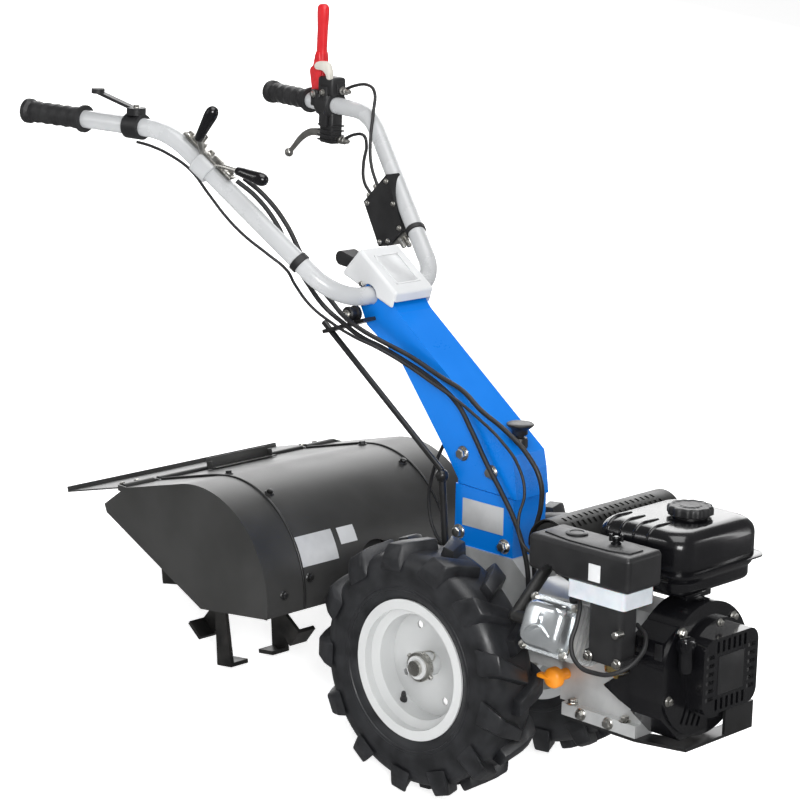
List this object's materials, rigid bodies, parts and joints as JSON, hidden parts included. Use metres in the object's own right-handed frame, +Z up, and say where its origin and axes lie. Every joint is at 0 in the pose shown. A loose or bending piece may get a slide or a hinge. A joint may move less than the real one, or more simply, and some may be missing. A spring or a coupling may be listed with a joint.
{
  "type": "walking tractor",
  "caption": "Two-wheel walking tractor with lugged tyres, a single-cylinder engine in front, a swept handlebar on a tall column and a hooded rotary tiller behind.",
  "frame": {"origin": "on the floor, under the middle of the machine's box", "axes": "+X forward towards the engine, +Y to the machine's left, +Z up"},
  "size_m": [1.4832, 0.6034, 0.9839],
  "materials": {
    "tyre": "matte",
    "wheel_paint": "satin",
    "steel": "zinc plated",
    "cast_aluminium": "as cast",
    "bright_cover": "bright pressed",
    "black_gloss": "gloss",
    "black_plastic": "satin",
    "milky_plastic": "translucent",
    "carburettor_metal": "cast with a brass bowl",
    "black_heat_paint": "matte",
    "orange_plastic": "satin",
    "black_paint": "satin",
    "blue_paint": "gloss",
    "grey_plastic": "satin",
    "dark_paint": "satin",
    "dark_steel": "painted",
    "tube_paint": "gloss",
    "rubber": "matte",
    "red_plastic": "satin",
    "cream_plastic": "satin"
  },
  "bodies": {
    "chassis": {"gearbox_housing": "cast_aluminium", "bell_housing": "cast_aluminium", "engine_block": "cast_aluminium", "cylinder_barrel": "cast_aluminium", "valve_cover": "bright_cover", "fan_housing": "black_gloss", "recoil_starter": "black_gloss", "fuel_tank": "black_gloss", "fuel_cap": "black_plastic", "air_filter_cover": "black_plastic", "air_filter_band": "milky_plastic", "air_filter_body": "black_plastic", "carburettor": "carburettor_metal", "muffler": "black_heat_paint", "muffler_guard": "black_heat_paint", "oil_dipstick": "orange_plastic", "front_guard": "black_paint", "column_base": "blue_paint", "column": "blue_paint", "column_cover": "grey_plastic", "column_knob": "black_plastic", "height_lever": "black_plastic", "rod_bracket": "black_paint", "shift_rod": "black_paint", "tiller_gearcase": "dark_paint", "tiller_hood": "dark_paint", "hood_wing_right": "dark_paint", "hood_wing_left": "dark_paint", "control_cables": "rubber", "gearbox_cable": "rubber", "plug_lead": "rubber"},
    "wheel_right": {"tyre_right": "tyre", "rim_right": "wheel_paint", "axle_right": "steel"},
    "wheel_left": {"tyre_left": "tyre", "rim_left": "wheel_paint", "axle_left": "steel"},
    "rotor": {"rotor_shaft": "dark_steel", "tines_right": "dark_steel", "tines_left": "dark_steel"},
    "flap": {"rear_flap": "dark_paint"},
    "handlebar_set": {"handlebar": "tube_paint", "grip_right": "rubber", "grip_left": "rubber", "throttle_control": "black_plastic", "gear_levers": "steel", "clutch_housing": "black_plastic", "clutch_lever": "red_plastic", "lever_latch": "cream_plastic", "reverse_lever": "steel", "cable_box": "black_plastic", "clutch_cables": "rubber"}
  },
  "joints": [
    {"name": "wheel_right_spin", "type": "hinge", "parent": "chassis", "child": "wheel_right", "pos_m": [0.29068, -0.145, 0.2075], "axis": [0, 1, 0], "continuous": true},
    {"name": "wheel_left_spin", "type": "hinge", "parent": "chassis", "child": "wheel_left", "pos_m": [0.29068, 0.145, 0.2075], "axis": [0, 1, 0], "continuous": true},
    {"name": "rotor_spin", "type": "hinge", "parent": "chassis", "child": "rotor", "pos_m": [-0.13921, 0, 0.14178], "axis": [0, 1, 0], "continuous": true},
    {"name": "flap_hinge", "type": "hinge", "parent": "chassis", "child": "flap", "pos_m": [-0.36762, 0, 0.21371], "axis": [0, 1, 0], "range_deg": [-50, 40]},
    {"name": "handlebar_tilt", "type": "hinge", "parent": "chassis", "child": "handlebar_set", "pos_m": [-0.09449, 0, 0.66822], "axis": [0, 1, 0], "range_deg": [-12, 12], "deforming": ["control_cables"]}
  ]
}
